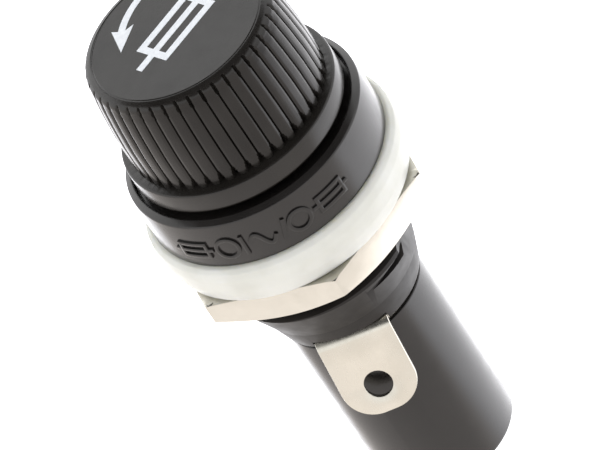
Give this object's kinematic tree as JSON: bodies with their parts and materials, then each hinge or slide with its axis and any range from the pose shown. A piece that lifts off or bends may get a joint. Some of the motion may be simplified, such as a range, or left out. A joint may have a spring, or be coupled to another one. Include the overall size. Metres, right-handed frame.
{
  "type": "cartridge fuse holder",
  "caption": "Panel-mount holder for a glass cartridge fuse, with a ribbed bayonet cap, a threaded neck clamped by a hex nut and washer, and solder terminals at the side and the end.",
  "frame": {"origin": "on the holder's axis, at the underside of the flange, the face that seats on the panel", "axes": "+Z along the axis towards the cap; the side terminal leaves the body between -X and -Y"},
  "size_m": [0.0208, 0.0216, 0.0566],
  "materials": {
    "black_moulding": "satin black thermoset moulding",
    "black_cap": "matte black moulding with white print",
    "nickel_strip": "satin nickel plate on brass strip",
    "bright_nickel": "bright nickel plate",
    "brass_contact": "bare brass",
    "spring_steel": "drawn spring wire",
    "milky_nylon": "milky translucent nylon",
    "fuse_glass": "clear glass",
    "solder": "dull tinned solder and wire"
  },
  "bodies": {
    "holder": {"neck_body": "black_moulding", "rear_barrel": "black_moulding", "side_terminal": "nickel_strip", "contact_sleeve": "brass_contact", "end_contact_cup": "brass_contact", "end_terminal": "nickel_strip", "end_rivet": "brass_contact"},
    "fuse_carrier": {"carrier_tube": "bright_nickel", "fuse_glass": "fuse_glass", "fuse_cap_rear": "bright_nickel", "fuse_cap_front": "bright_nickel", "solder_bead_rear": "solder", "solder_bead_front": "solder", "fuse_wire": "solder", "cap_spring": "spring_steel"},
    "cap_guide": {"guide_pin": "brass_contact", "pin_retainer": "brass_contact"},
    "cap": {"cap_knob": "black_cap"},
    "washer": {"nylon_washer": "milky_nylon"},
    "nut": {"hex_nut": "bright_nickel"}
  },
  "joints": [
    {"name": "fuse_withdraw", "type": "slide", "parent": "holder", "child": "fuse_carrier", "axis": [0, 0, 1], "range_m": [0, 0.036]},
    {"name": "cap_push", "type": "slide", "parent": "fuse_carrier", "child": "cap_guide", "axis": [0, 0, 1], "range_m": [-0.0008, 0], "stiffness_N_per_m": 300, "springref_m": 0.002, "deforming": ["cap_spring"]},
    {"name": "cap_turn", "type": "hinge", "parent": "cap_guide", "child": "cap", "pos_m": [0, 0, 0.013], "axis": [0, 0, 1], "range_deg": [-60, 0]},
    {"name": "washer_slide", "type": "slide", "parent": "holder", "child": "washer", "axis": [0, 0, 1], "range_m": [-0.00226, 0]},
    {"name": "nut_turn", "type": "hinge", "parent": "washer", "child": "nut", "pos_m": [0, 0, -0.005], "axis": [0, 0, 1], "range_deg": [-540, 0]}
  ],
  "couplings": [
    {"joint": "washer_slide", "follows": "nut_turn", "m_per_rad": 0.00023873}
  ]
}
